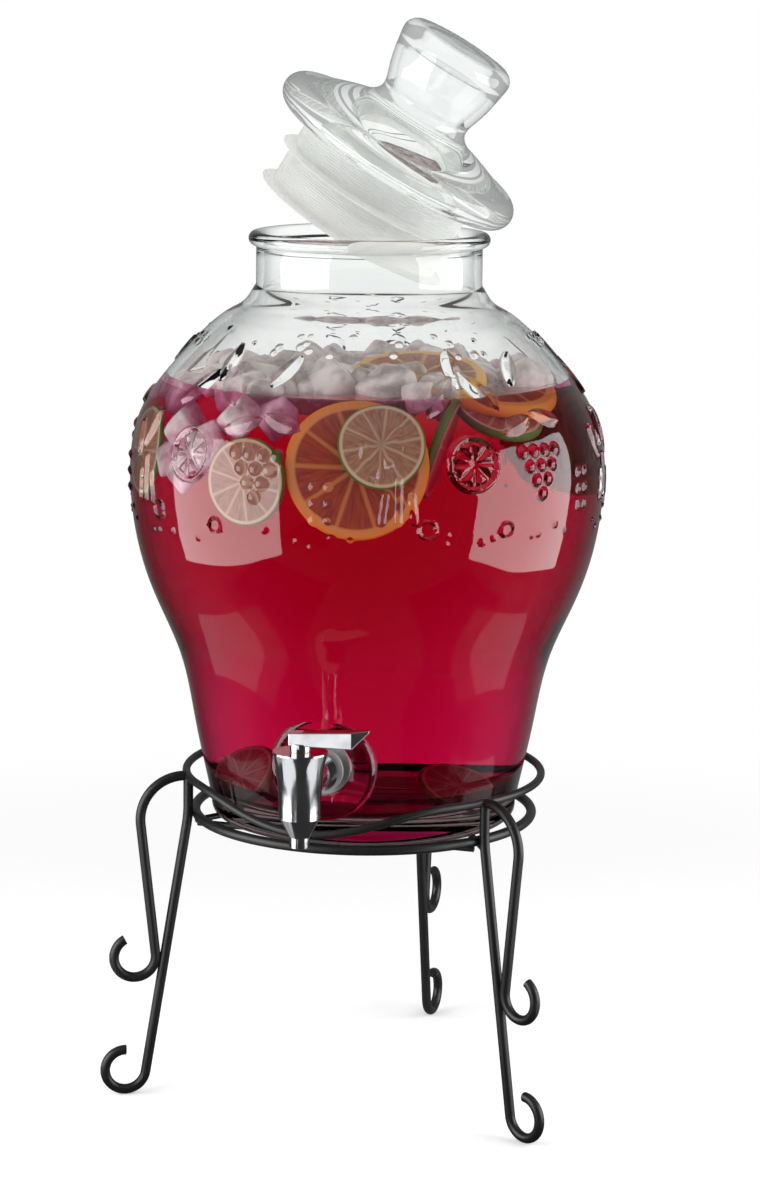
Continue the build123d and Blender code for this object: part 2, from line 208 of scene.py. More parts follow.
def lathe(outline, steps, closed=False):
    """Shape turned about the upright axis from (radius, height) points."""
    bm = bmesh.new()
    points = [bm.verts.new(mm(r, 0, z)) for r, z in outline]
    pairs = list(zip(points, points[1:]))
    if closed:
        pairs.append((points[-1], points[0]))
    edges = [bm.edges.new(pair) for pair in pairs]
    bmesh.ops.spin(bm, geom=points + edges, cent=(0, 0, 0), axis=(0, 0, 1), angle=math.tau,
                   steps=steps, use_merge=True)
    bmesh.ops.remove_doubles(bm, verts=bm.verts, dist=2e-6)
    bmesh.ops.recalc_face_normals(bm, faces=bm.faces)
    return bm


def as_mesh(name, bm, sharp=SHARP):
    """Smooth mesh with sharp edges where its faces meet at more than an angle."""
    mesh = bpy.data.meshes.new(name)
    bm.to_mesh(mesh)
    bm.free()
    mesh.shade_smooth()
    mesh.set_sharp_from_angle(angle=math.radians(sharp))
    return mesh


def piece(name, mesh, material, body, stands_for=()):
    """Adds a mesh as a named piece that moves with a body."""
    obj = bpy.data.objects.new(name, mesh)
    bpy.context.scene.collection.objects.link(obj)
    mesh.materials.clear()
    mesh.materials.append(material)
    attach(obj, body)
    if stands_for:
        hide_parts(*stands_for)
    return obj


def joined(mesh, *tools):
    """A mesh with other meshes added to it or cut from it: each tool is (operation, mesh)."""
    base = bpy.data.objects.new("work", mesh)
    bpy.context.scene.collection.objects.link(base)
    helpers = []
    for operation, tool in tools:
        helper = bpy.data.objects.new("tool", tool)
        bpy.context.scene.collection.objects.link(helper)
        cut = base.modifiers.new("cut", "BOOLEAN")
        cut.operation = operation
        cut.solver = "EXACT"
        cut.object = helper
        helpers.append(helper)
    bpy.context.view_layer.update()
    result = bpy.data.meshes.new_from_object(base.evaluated_get(bpy.context.evaluated_depsgraph_get()))
    for obj in [base, *helpers]:
        bpy.data.objects.remove(obj)
    result.shade_smooth()
    result.set_sharp_from_angle(angle=math.radians(SHARP))
    return result


# Materials

WHITE = (1, 1, 1, 1)
# Glass: mirror bounces after which a painted glow stands in for light that counts as deep, and how slowly the
# painted edge shade comes in
DEEP_BOUNCES = 2.5
EDGE_WIDTH = 0.5


def colour(hex_value):
    """Linear colour of an sRGB hex value."""
    parts = [int(hex_value[i:i + 2], 16) / 255 for i in (0, 2, 4)]
    return [c / 12.92 if c <= 0.04045 else ((c + 0.055) / 1.055) ** 2.4 for c in parts] + [1]


def add(tree, kind, sockets, **settings):
    """Adds a node with its settings, and sets or links its sockets."""
    node = tree.nodes.new("ShaderNode" + kind)
    for key, value in settings.items():
        setattr(node, key, value)
    for key, value in sockets.items():
        if isinstance(value, bpy.types.NodeSocket):
            tree.links.new(value, node.inputs[key])
        else:
            node.inputs[key].default_value = value
    return node


def new_material(name):
    """Empty material and its node tree."""
    material = bpy.data.materials.new(name)
    material.use_nodes = True
    material.node_tree.nodes.clear()
    return material, material.node_tree


def clear_glass(name, tint_and_shade, painted_edge_shade, wave, wave_depth, gloss=1.0, painted_deep_glow=0.0, edge_shade_from=0.45):
    """Clear glass: see-through to lamps, darkened by painted shade where it is seen edge on, faintly wavy.

    With no painted edge shade the glass has one tone all over, and a dark tone is painted shade all over.
    Light that has been thrown about inside the glass many times shows as a painted glow of painted_deep_glow,
    not as black.
    """
    material, tree = new_material(name)
    where = add(tree, "TexCoord", {})
    waves = add(tree, "TexNoise", {"Vector": where.outputs["Object"], "Scale": 1 / (wave * MM), "Detail": 1})
    bump = add(tree, "Bump", {"Height": waves.outputs["Fac"], "Distance": wave_depth * MM, "Strength": 1})
    tone = colour(tint_and_shade)
    # Painted shade: the glass's tone turns to a darker edge shade where its surface is seen edge on
    if painted_edge_shade:
        facing = add(tree, "LayerWeight", {"Blend": 0.5})
        edge = add(tree, "MapRange", {"Value": facing.outputs["Facing"], "From Min": edge_shade_from,
                                      "From Max": edge_shade_from + EDGE_WIDTH}, interpolation_type="SMOOTHSTEP")
        edge_shaded_tone = add(tree, "Mix", {"Factor": edge.outputs["Result"], 6: colour(tint_and_shade), 7: colour(painted_edge_shade)},
                   data_type="RGBA")
        tone = edge_shaded_tone.outputs[2]
    glass = add(tree, "BsdfPrincipled", {"Base Color": tone, "Roughness": 0, "IOR": 1.52,
                                         "Specular Tint": (gloss, gloss, gloss, 1),
                                         "Transmission Weight": 1, "Normal": bump.outputs["Normal"]})
    lamp_through = add(tree, "BsdfTransparent", {"Color": colour(tint_and_shade)})
    path = add(tree, "LightPath", {})
    mix = add(tree, "MixShader", {0: path.outputs["Is Shadow Ray"], 1: glass.outputs[0],
                                  2: lamp_through.outputs[0]})
    # Painted glow: past the deep bounces the glass shows plain white emission in place of black
    if painted_deep_glow:
        deep = add(tree, "Math", {0: path.outputs["Glossy Depth"], 1: DEEP_BOUNCES}, operation="GREATER_THAN")
        even = add(tree, "Emission", {"Color": WHITE, "Strength": painted_deep_glow})
        mix = add(tree, "MixShader", {0: deep.outputs[0], 1: mix.outputs[0], 2: even.outputs[0]})
    add(tree, "OutputMaterial", {"Surface": mix.outputs[0]})
    return material


def coated_steel():
    """Powder-coated steel rod: satin black with a fine orange-peel skin."""
    material, tree = new_material("powder coated steel rod")
    where = add(tree, "TexCoord", {})
    peel = add(tree, "TexNoise", {"Vector": where.outputs["Object"], "Scale": 1 / (0.9 * MM), "Detail": 2})
    patch = add(tree, "TexNoise", {"Vector": where.outputs["Object"], "Scale": 1 / (22 * MM), "Detail": 3})
    tone = add(tree, "Mix", {"Factor": patch.outputs["Fac"], 6: colour("0c0c0d"), 7: colour("1b1b1d")},
               data_type="RGBA")
    rough = add(tree, "MapRange", {"Value": patch.outputs["Fac"], "To Min": 0.3, "To Max": 0.46})
    bump = add(tree, "Bump", {"Height": peel.outputs["Fac"], "Distance": 0.06 * MM, "Strength": 1})
    coat = add(tree, "BsdfPrincipled", {"Base Color": tone.outputs[2], "Roughness": rough.outputs["Result"],
                                        "Normal": bump.outputs["Normal"]})
    add(tree, "OutputMaterial", {"Surface": coat.outputs[0]})
    return material


def chrome():
    """Chromed brass, polished: mirror bright, with faint handling haze."""
    material, tree = new_material("polished chrome plate")
    where = add(tree, "TexCoord", {})
    haze = add(tree, "TexNoise", {"Vector": where.outputs["Object"], "Scale": 1 / (9 * MM), "Detail": 4})
    rough = add(tree, "MapRange", {"Value": haze.outputs["Fac"], "From Min": 0.35, "From Max": 0.75,
                                   "To Min": 0.1, "To Max": 0.2})
    ripple = add(tree, "TexNoise", {"Vector": where.outputs["Object"], "Scale": 1 / (6 * MM), "Detail": 1})
    bump = add(tree, "Bump", {"Height": ripple.outputs["Fac"], "Distance": 0.02 * MM, "Strength": 1})
    plate = add(tree, "BsdfPrincipled", {"Base Color": colour("c9cacd"), "Metallic": 1,
                                         "Roughness": rough.outputs["Result"],
                                         "Normal": bump.outputs["Normal"]})
    add(tree, "OutputMaterial", {"Surface": plate.outputs[0]})
    return material


def plain(name, light, dark, grain, rough, metallic=0.0, through=0.0):
    """A moulded or turned stuff with a soft change of tone at its own grain size."""
    material, tree = new_material(name)
    where = add(tree, "TexCoord", {})
    grains = add(tree, "TexNoise", {"Vector": where.outputs["Object"], "Scale": 1 / (grain * MM),
                                    "Detail": 3})
    tone = add(tree, "Mix", {"Factor": grains.outputs["Fac"], 6: colour(dark), 7: colour(light)},
               data_type="RGBA")
    bump = add(tree, "Bump", {"Height": grains.outputs["Fac"], "Distance": 0.04 * MM, "Strength": 1})
    stuff = add(tree, "BsdfPrincipled", {"Base Color": tone.outputs[2], "Roughness": rough,
                                         "Metallic": metallic, "Transmission Weight": through,
                                         "Normal": bump.outputs["Normal"]})
    add(tree, "OutputMaterial", {"Surface": stuff.outputs[0]})
    return material


def milky(name, light, dark):
    """Soft moulded polythene: milky, lets light through without a clear view."""
    material, tree = new_material(name)
    where = add(tree, "TexCoord", {})
    cloud = add(tree, "TexNoise", {"Vector": where.outputs["Object"], "Scale": 1 / (8 * MM), "Detail": 3})
    tone = add(tree, "Mix", {"Factor": cloud.outputs["Fac"], 6: colour(dark), 7: colour(light)},
               data_type="RGBA")
    skin = add(tree, "BsdfPrincipled", {"Base Color": tone.outputs[2], "Roughness": 0.38})
    glow = add(tree, "BsdfTranslucent", {"Color": tone.outputs[2]})
    body = add(tree, "MixShader", {0: 0.55, 1: skin.outputs[0], 2: glow.outputs[0]})
    clear = add(tree, "BsdfTransparent", {"Color": tone.outputs[2]})
    mix = add(tree, "MixShader", {0: 0.32, 1: body.outputs[0], 2: clear.outputs[0]})
    add(tree, "OutputMaterial", {"Surface": mix.outputs[0]})
    return material


def drink():
    """Hibiscus fruit drink: clear crimson, darker the deeper one looks."""
    material, tree = new_material("crimson fruit drink")
    where = add(tree, "TexCoord", {})
    height = add(tree, "SeparateXYZ", {0: where.outputs["Object"]})
    open_top = add(tree, "MapRange", {"Value": height.outputs["Z"], "From Min": (LEVEL_Z - OPEN_TOP[0]) * MM,
                                      "From Max": (LEVEL_Z - OPEN_TOP[1]) * MM})
    liquid = add(tree, "BsdfPrincipled", {"Base Color": WHITE, "Roughness": 0, "IOR": 1.33,
                                          "Specular Tint": open_top.outputs["Result"],
                                          "Transmission Weight": 1})
    lamp_through = add(tree, "BsdfTransparent", {"Color": WHITE})
    path = add(tree, "LightPath", {})
    mix = add(tree, "MixShader", {0: path.outputs["Is Shadow Ray"], 1: liquid.outputs[0],
                                  2: lamp_through.outputs[0]})
    inside = add(tree, "VolumeAbsorption", {"Color": (0.888, 0.0, 0.51, 1), "Density": 45})
    add(tree, "OutputMaterial", {"Surface": mix.outputs[0], "Volume": inside.outputs[0]})
    return material


def ice():
    """Freezer ice: wet dimpled skin over a cloudy core full of fine bubbles."""
    material, tree = new_material("cloudy freezer ice")
    where = add(tree, "TexCoord", {})
    cloud = add(tree, "TexNoise", {"Vector": where.outputs["Object"], "Scale": 1 / (12 * MM), "Detail": 4})
    melt = add(tree, "TexNoise", {"Vector": where.outputs["Object"], "Scale": 1 / (5 * MM), "Detail": 2})
    bump = add(tree, "Bump", {"Height": melt.outputs["Fac"], "Distance": 0.9 * MM, "Strength": 1})
    thin = add(tree, "MapRange", {"Value": cloud.outputs["Fac"], "From Min": 0.4, "From Max": 0.62,
                                  "To Min": 0.1, "To Max": 0.85})
    wet = add(tree, "BsdfPrincipled", {"Base Color": colour("e6dad8"), "Roughness": 0.16, "IOR": 1.31,
                                       "Transmission Weight": thin.outputs["Result"],
                                       "Normal": bump.outputs["Normal"]})
    core = add(tree, "BsdfTranslucent", {"Color": colour("dccfcd")})
    mix = add(tree, "MixShader", {0: 0.3, 1: wet.outputs[0], 2: core.outputs[0]})
    add(tree, "OutputMaterial", {"Surface": mix.outputs[0]})
    return material


def citrus(name, rind, pith, pulp_light, pulp_dark, segments, rind_share, pith_share):
    """Cut citrus slice: rind, pith, thin skins between the segments, and juice cells."""
    material, tree = new_material(name)
    where = add(tree, "UVMap", {})
    centred = add(tree, "VectorMath", {0: where.outputs["UV"], 1: (0.5, 0.5, 0)}, operation="SUBTRACT")
    reach = add(tree, "VectorMath", {0: centred.outputs["Vector"]}, operation="LENGTH")
    radius = add(tree, "Math", {0: reach.outputs["Value"], 1: 2.0}, operation="MULTIPLY")
    around = add(tree, "TexGradient", {"Vector": centred.outputs["Vector"]}, gradient_type="RADIAL")
    sector = add(tree, "Math", {0: around.outputs["Fac"], 1: float(segments)}, operation="MULTIPLY")
    part = add(tree, "Math", {0: sector.outputs[0], 1: 0.5}, operation="PINGPONG")
    side = add(tree, "Math", {0: part.outputs[0], 1: radius.outputs[0]}, operation="MULTIPLY")
    skin = add(tree, "MapRange", {"Value": side.outputs[0], "From Min": 0.02, "From Max": 0.07,
                                  "To Min": 0.6, "To Max": 0.0})
    cells_at = add(tree, "CombineXYZ", {"X": sector.outputs[0], "Y": radius.outputs[0]})
    stretched = add(tree, "VectorMath", {0: cells_at.outputs[0], 1: (9, 5, 1)}, operation="MULTIPLY")
    cells = add(tree, "TexVoronoi", {"Vector": stretched.outputs["Vector"], "Scale": 1.0})
    pulp = add(tree, "Mix", {"Factor": cells.outputs["Distance"], 6: colour(pulp_light),
                             7: colour(pulp_dark)}, data_type="RGBA")
    flesh = add(tree, "Mix", {"Factor": skin.outputs["Result"], 6: pulp.outputs[2], 7: colour(pith)},
                data_type="RGBA")
    in_pith = add(tree, "MapRange", {"Value": radius.outputs[0], "From Min": pith_share - 0.02,
                                     "From Max": pith_share + 0.015})
    with_pith = add(tree, "Mix", {"Factor": in_pith.outputs["Result"], 6: flesh.outputs[2], 7: colour(pith)},
                    data_type="RGBA")
    in_rind = add(tree, "MapRange", {"Value": radius.outputs[0], "From Min": rind_share - 0.015,
                                     "From Max": rind_share + 0.01})
    tone = add(tree, "Mix", {"Factor": in_rind.outputs["Result"], 6: with_pith.outputs[2], 7: colour(rind)},
               data_type="RGBA")
    bump = add(tree, "Bump", {"Height": cells.outputs["Distance"], "Distance": 0.4 * MM, "Strength": 0.6})
    slice_skin = add(tree, "BsdfPrincipled", {"Base Color": tone.outputs[2], "Roughness": 0.32,
                                              "Normal": bump.outputs["Normal"]})
    glow = add(tree, "BsdfTranslucent", {"Color": tone.outputs[2]})
    mix = add(tree, "MixShader", {0: 0.35, 1: slice_skin.outputs[0], 2: glow.outputs[0]})
    add(tree, "OutputMaterial", {"Surface": mix.outputs[0]})
    return material


# Clear above the drink, with painted shade that greys its edges
JAR_GLASS = clear_glass("pressed soda lime glass", "fbfdfc", "8f9a98", 38, 0.35)
# Painted shade darkens it towards its edges, where the eye looks along the drink behind it
SIDE_GLASS = clear_glass("pressed glass backed by the drink with painted edge shade", "fbfdfc", "6a5c5e", 38, 0.35, edge_shade_from=0.3)
# No gloss of its own where the drink lies on it
WET_GLASS = clear_glass("soda lime glass wetted by the drink", "fbfdfc", None, 38, 0.1, 0.0)
# Thick glass at the bottom, darkened with painted shade for the shade under the jar and its foot
SHADED_FLOOR_GLASS = clear_glass("thick glass of the jar's floor in painted shade", "ece6e5", "453939", 38, 0.2, 0.0)
SHADED_HEEL_GLASS = clear_glass("thick glass of the jar's heel in painted shade", "57494a", None, 38, 0.2, 0.0)
SHADED_FOOT_GLASS = clear_glass("thick glass of the jar's foot in painted shade", "6a5c5c", "4c4242", 38, 0.2, 0.3)
# A painted glow keeps it bright even in its thickest places, and painted shade greys its edges
LID_GLASS = clear_glass("thick moulded glass", "fafcfb", "b4bdb9", 26, 0.3, 1.0, 0.5)
COAT = coated_steel()
CHROME = chrome()
COLLAR = milky("milky soft polythene", "f6f6f5", "ececeb")
# Warm metal, dull silky plastic, cloudy rubber and black rubber of the tap's small parts
BRASS = plain("turned brass", "c79a4e", "a9783a", 2.5, 0.3, metallic=1.0)
NYLON = plain("white moulded nylon", "f1efe9", "e3e0d8", 3.0, 0.45)
SILICONE = plain("clear silicone washer", "dcdedd", "c3c7c6", 4.0, 0.35, through=0.6)
RUBBER = plain("black seal rubber", "1c1c1d", "101011", 1.5, 0.6)
DRINK = drink()
ICE = ice()
# Fruit: amber, pale green rind; the drink's red light is painted into pulp and pith along with their own
# colour, and a darker copy of the lime carries painted shade where it lies deep
ORANGE = citrus("cut orange slice", "e0a52e", "d9a94c", "aa541d", "7d3210", 10, 0.92, 0.84)
LIME = citrus("cut lime slice", "587c2c", "cdb592", "b38365", "8c5d43", 10, 0.95, 0.88)
SHADED_DEEP_LIME = citrus("lime slice with painted shade deep in the drink", "62762f", "a08a68", "8a6546", "6b472e", 10, 0.93, 0.86)

CAD_FINISH = {"base_ring": COAT, "guard_ring": COAT, "tap_body": CHROME, "tap_nozzle": CHROME,
              "tap_bonnet": CHROME, "tap_lever": CHROME, "valve_plug": BRASS, "lock_nut": NYLON,
              "slip_washer": NYLON, "front_washer": SILICONE, "inner_seal": SILICONE}
for name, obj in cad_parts.items():
    finish = CAD_FINISH.get(name)
    if name.startswith(("leg_", "scroll_", "support_bar_")):
        finish = COAT
    if name.startswith("plug_ring"):
        finish = RUBBER
    if finish:
        for place in obj.material_slots:
            place.material = finish


# Jar


def outside_wall(step, low=None, high=None):
    """Points on the outside of the jar's side, between two heights."""
    line = curve_through(JAR_SIDE, step)
    return [p for p in line if (low is None or p[1] >= low) and (high is None or p[1] < high)]


FINE_WALL = np.array(curve_through(JAR_SIDE, 0.5))
WALL_RUN = np.concatenate([[0], np.cumsum(np.hypot(*np.diff(FINE_WALL, axis=0).T))])


def wall_radius(z):
    """Radius of the outside of the jar's side at a height."""
    return np.interp(z, FINE_WALL[:, 1], FINE_WALL[:, 0])


INNER_WALL = np.array(set_in([tuple(p) for p in FINE_WALL], JAR_WALL))


def inner_radius(z):
    """Radius of the inside of the jar's side at a height."""
    return np.interp(z, INNER_WALL[:, 1], INNER_WALL[:, 0])


def ornament():
    """Stamps of the raised ornament: (kind, degrees round the jar, height, turn, size, width, rise)."""
    rng = random.Random(7)
    stamps = []
    for repeat in range(RELIEF_REPEATS):
        at = RELIEF_TURN + repeat * 360 / RELIEF_REPEATS

        def put(kind, x, z, turn, size, width, rise):
            stamps.append((kind, at + math.degrees(x / BELLY_R), z, turn, size, width, rise))

        put("citrus", 0, 338, 0, 14, 14, 1.5)
        put("leaf", -13, 368, 55, 26, 11, 1.8)
        put("leaf", 12, 370, 125, 27, 11, 1.8)
        put("leaf", 0, 380, 90, 22, 9, 1.6)
        for row, count in enumerate((4, 3, 2, 1)):
            for i in range(count):
                put("berry", 40 + (i - (count - 1) / 2) * 7.6, 341 - row * 6.6, 0, 3.5, 3.5, 1.7)
        put("leaf", 29, 354, 20, 20, 9, 1.7)
        put("leaf", 51, 356, 160, 20, 9, 1.7)
        put("leaf", 44, 378, 60, 22, 9, 1.6)
        for side in (-1, 1):
            for step in range(3):
                put("berry", 74 + side * 3.4, 312 + step * 8, 0, 2.3, 2.3, 1.2)
            put("bar", -38 + side * 7, 318, 90 + side * 8, 17, 4, 1.3)
        put("bar", -38, 322, 90, 24, 4, 1.4)
        put("ring", -24, 308, 0, 4.2, 1.8, 1.0)
        put("ring", 18, 306, 0, 3.4, 1.6, 1.0)
        put("leaf", -40, 346, 70, 22, 10, 1.7)
        put("leaf", -52, 340, 110, 20, 9, 1.6)
        for _ in range(22):
            put("berry", rng.uniform(-70, 74), rng.choice([rng.uniform(296, 306), rng.uniform(384, 394)]),
                0, rng.uniform(1.2, 1.9), 1.5, 0.8)
    return stamps


def stamp_height(kind, u, v, size, width, rise):
    """Height of one stamp at points (u, v) from its centre."""
    far = np.hypot(u, v)
    if kind == "berry":
        return rise * np.clip(1 - (far / size) ** 2, 0, None)
    if kind == "ring":
        return rise * np.clip(1 - ((far - size) / (width / 2)) ** 2, 0, None)
    if kind == "bar":
        along = np.clip(np.abs(u) - (size - width) / 2, 0, None)
        return rise * np.clip(1 - (np.hypot(along, v) / (width / 2)) ** 2, 0, None)
    if kind == "leaf":
        half = width / 2 * np.clip(1 - (2 * u / size) ** 2, 1e-6, None) ** LEAF_TAPER
        across = np.abs(v) / half
        body = np.clip(1 - across, 0, None) ** LEAF_ROUND
        return rise * body * (np.abs(u) < size / 2)
    rim = np.clip(1 - ((far - size + CITRUS_RIM) / CITRUS_RIM) ** 2, 0, None)
    turn = np.abs((np.arctan2(v, u) * CITRUS_SEGMENTS / math.tau) % 1 - 0.5) * 2
    gap = (1 - turn) * far * math.pi / CITRUS_SEGMENTS
    pad = np.clip(np.minimum(gap - CITRUS_GAP, size - CITRUS_INSET - far) / CITRUS_SOFT, 0, 1)
    pad = pad * (far > CITRUS_CORE)
    return rise * np.maximum(rim, CITRUS_PAD * pad)


def stamp_place(points, degrees, z, turn):
    """Distances along and across a stamp, turned on the wall, from its centre to points on the wall."""
    angle = np.arctan2(points[:, 1], points[:, 0]) - math.radians(degrees)
    angle = (angle + math.pi) % math.tau - math.pi
    aside = angle * wall_radius(points[:, 2])
    up = np.interp(points[:, 2], FINE_WALL[:, 1], WALL_RUN) - np.interp(z, FINE_WALL[:, 1], WALL_RUN)
    c, s = math.cos(math.radians(turn)), math.sin(math.radians(turn))
    return aside * c + up * s, up * c - aside * s


def under_stamp(kind, u, v, size, width):
    """Which points (u, v) lie under a stamp or close beside it."""
    if kind in ("leaf", "bar"):
        return (np.abs(u) < size / 2 + RELIEF_MARGIN) & (np.abs(v) < width / 2 + RELIEF_MARGIN)
    return np.hypot(u, v) < size + RELIEF_MARGIN


def in_band(points):
    """Which points lie on the outside of the wall, in the band that carries the ornament."""
    reach = np.hypot(points[:, 0], points[:, 1])
    level = (points[:, 2] > RELIEF_LOW_Z) & (points[:, 2] < RELIEF_HIGH_Z)
    return level & (reach > wall_radius(points[:, 2]) - JAR_WALL / 2)


def pressed_relief(bm):
    """Raises the ornament from the outside of the jar's wall, on faces split finer under it."""
    stamps = ornament()
    faces = list(bm.faces)
    centres = np.array([f.calc_center_median() for f in faces]) / MM
    on_wall = in_band(centres)
    chosen = np.zeros(len(faces), bool)
    for kind, degrees, z, turn, size, width, _ in stamps:
        u, v = stamp_place(centres, degrees, z, turn)
        chosen |= on_wall & under_stamp(kind, u, v, size, width)
    edges = {e for f, keep in zip(faces, chosen) if keep for e in f.edges}
    bmesh.ops.subdivide_edges(bm, edges=list(edges), cuts=RELIEF_CUTS, use_grid_fill=True)
    verts = list(bm.verts)
    places = np.array([v.co for v in verts]) / MM
    index = np.flatnonzero(in_band(places))
    here = places[index]
    height = np.zeros(len(index))
    for kind, degrees, z, turn, size, width, rise in stamps:
        u, v = stamp_place(here, degrees, z, turn)
        near = np.flatnonzero(under_stamp(kind, u, v, size, width))
        height[near] = np.maximum(height[near], stamp_height(kind, u[near], v[near], size, width, rise))
    radius = wall_radius(here[:, 2])
    slope = wall_radius(here[:, 2] + 0.5) - wall_radius(here[:, 2] - 0.5)
    level = 1 / np.hypot(1, slope)
    angle = np.arctan2(here[:, 1], here[:, 0])
    out = radius + height * level
    up = here[:, 2] - height * level * slope
    for i, x, y, z in zip(index, out * np.cos(angle), out * np.sin(angle), up):
        verts[i].co = mm(x, y, z)


def jar_outline():
    """Half section of the jar, from the middle of its foot up the outside and down the inside."""
    punt = arc((0, JAR_FOOT_Z + PUNT_RISE - PUNT_ARC_R), PUNT_ARC_R, 90, PUNT_ARC_END, 10)
    punt[0] = (0, punt[0][1])
    heel = arc((JAR_FOOT_R, JAR_FOOT_Z + JAR_HEEL_R), JAR_HEEL_R, -90, JAR_HEEL_TOP, 7)[:-1]
    low = outside_wall(PLAIN_ROW, high=RELIEF_LOW_Z)
    band = outside_wall(BAND_ROW, low=RELIEF_LOW_Z, high=SHOULDER_Z)
    shoulder = outside_wall(SHOULDER_ROW, low=SHOULDER_Z)
    neck = [(NECK_R, z) for z in NECK_ROWS]
    bead = arc(RIM_BEAD, RIM_ARC_R, -85, 85, 12)
    lip = arc(RIM_LIP, RIM_ARC_R, 90, 180, 6)
    inner_low = INNER_HEEL[1] + INNER_HEEL_R * math.sin(math.radians(INNER_HEEL_TOP))
    inside = set_in(outside_wall(PLAIN_ROW), JAR_WALL)
    inside = [p for p in reversed(inside) if inner_low + ROW_GAP < p[1] < NECK_FOOT_Z]
    inner_neck = [(NECK_R - JAR_WALL, z) for z in INNER_NECK_ROWS]
    inner_heel = arc(INNER_HEEL, INNER_HEEL_R, INNER_HEEL_TOP, -90, 8)
    floor = [(r, JAR_FLOOR_Z) for r in FLOOR_ROWS]
    outside = punt + heel + low + band + shoulder + neck + bead
    return outside + lip + inner_neck + inside + inner_heel + floor


def laid_from_boss(bm):
    """Lays a turned shape down along the tap's way into the jar, from the boss's face."""
    turn = Matrix.Translation(mm(0, BOSS_FACE_Y, TAP_Z)) @ Matrix.Rotation(math.radians(-90), 4, "X")
    bmesh.ops.transform(bm, matrix=turn, verts=bm.verts)


def boss():
    """Flat round boss for the tap, with a soft front edge; its back lies in the jar's wall."""
    edge = arc((BOSS_R - BOSS_EDGE_R, BOSS_EDGE_R), BOSS_EDGE_R, -90, 0, 6)
    back = [(r, BOSS_DEPTH) for r in (BOSS_R, SEAT_R, 0)]
    bm = lathe([(0, 0), (SEAT_R, 0), *edge, *back], BOSS_STEPS)
    laid_from_boss(bm)
    for vert in bm.verts:
        if vert.co.y > (BOSS_FACE_Y + BOSS_DEPTH - 0.1) * MM:
            middle = wall_radius(vert.co.z / MM) - JAR_WALL / 2
            vert.co.y = -math.sqrt(middle ** 2 - (vert.co.x / MM) ** 2) * MM
    return as_mesh("boss", bm)


def shank_hole():
    """What is cut out for the tap's shank and, inside the jar, for the seat of its seal."""
    seat = SEAT_Y - BOSS_FACE_Y
    bm = lathe([(0, HOLE_START), (SHANK_HOLE_R, HOLE_START), (SHANK_HOLE_R, seat), (SEAT_R, seat),
                (SEAT_R, HOLE_END), (0, HOLE_END)], HOLE_STEPS)
    laid_from_boss(bm)
    return as_mesh("shank_hole", bm)


# Heights above the inside floor that part the jar's kinds of glass, and the places of those in its list
FLOOR_RISE = 0.5
HEEL_RISE = 10
FOOT_RISE = 3
WET, HEEL, FLOOR, FOOT, SIDE = range(1, 6)
jar_bm = lathe(jar_outline(), JAR_STEPS)
pressed_relief(jar_bm)
jar_mesh = joined(as_mesh("jar", jar_bm), ("UNION", boss()), ("DIFFERENCE", shank_hole()))
JAR = piece("pressed_glass_jar", jar_mesh, JAR_GLASS, "jar", ["jar"])
for glass in (WET_GLASS, SHADED_HEEL_GLASS, SHADED_FLOOR_GLASS, SHADED_FOOT_GLASS, SIDE_GLASS):
    jar_mesh.materials.append(glass)
# Faces at the floor, heel and foot get the glass darkened with painted shade
for face in jar_mesh.polygons:
    x, y, z = face.center / MM
    rise = z - JAR_FLOOR_Z
    in_hole = y < SEAT_Y and math.hypot(x, z - TAP_Z) < SEAT_R
    inside = rise > -FLOOR_RISE and math.hypot(x, y) < wall_radius(z) - JAR_WALL / 2 and not in_hole
    if z < LEVEL_Z and inside:
        face.material_index = WET if rise > HEEL_RISE else HEEL if rise > FLOOR_RISE else FLOOR
    elif z < LEVEL_Z:
        face.material_index = FOOT if rise < FOOT_RISE else SIDE


# Drink, ice and fruit


def drink_outline():
    """Half section of the drink, which reaches a little into the glass so that no air lies between."""
    depth = JAR_WALL - DRINK_INTO_GLASS
    heel = arc(INNER_HEEL, INNER_HEEL_R + DRINK_INTO_GLASS, -90, INNER_HEEL_TOP, 8)
    wall = set_in(outside_wall(DRINK_ROW), depth)
    side = [p for p in wall if heel[-1][1] + ROW_GAP < p[1] < LEVEL_Z + CREEP_TOP]
    brink = side[-1][0]
    creep = [(brink - inward, LEVEL_Z + rise) for inward, rise in CREEP]
    bottom = [(r, JAR_FLOOR_Z - DRINK_INTO_GLASS) for r in (0, 40)]
    return bottom + heel + side + creep + [(r, LEVEL_Z) for r in (60, 30, 0)]


piece("drink_filling", as_mesh("drink", lathe(drink_outline(), DRINK_STEPS)), DRINK, "jar")

SLICE_STEPS = 72
RIND_SQUASH = 0.6
SLICE_CLEAR = 0.6
PUSH_STEP = 0.5


def slice_shape(radius, thickness):
    """Round slice with softly rounded rind, and a map of its face for the cut's pattern."""
    half = thickness / 2
    rind = arc((radius - half * RIND_SQUASH, 0), half, -90, 90, 8)
    rind = [(radius - half * RIND_SQUASH + (r - radius + half * RIND_SQUASH) * RIND_SQUASH, z)
            for r, z in rind]
    outline = [(0, -half), (radius * 0.5, -half), *rind, (radius * 0.5, half), (0, half)]
    bm = lathe(outline, SLICE_STEPS)
    layer = bm.loops.layers.uv.new("UVMap")
    for face in bm.faces:
        for loop in face.loops:
            loop[layer].uv = [c / (2 * radius * MM) + 0.5 for c in loop.vert.co.xy]
    return bm


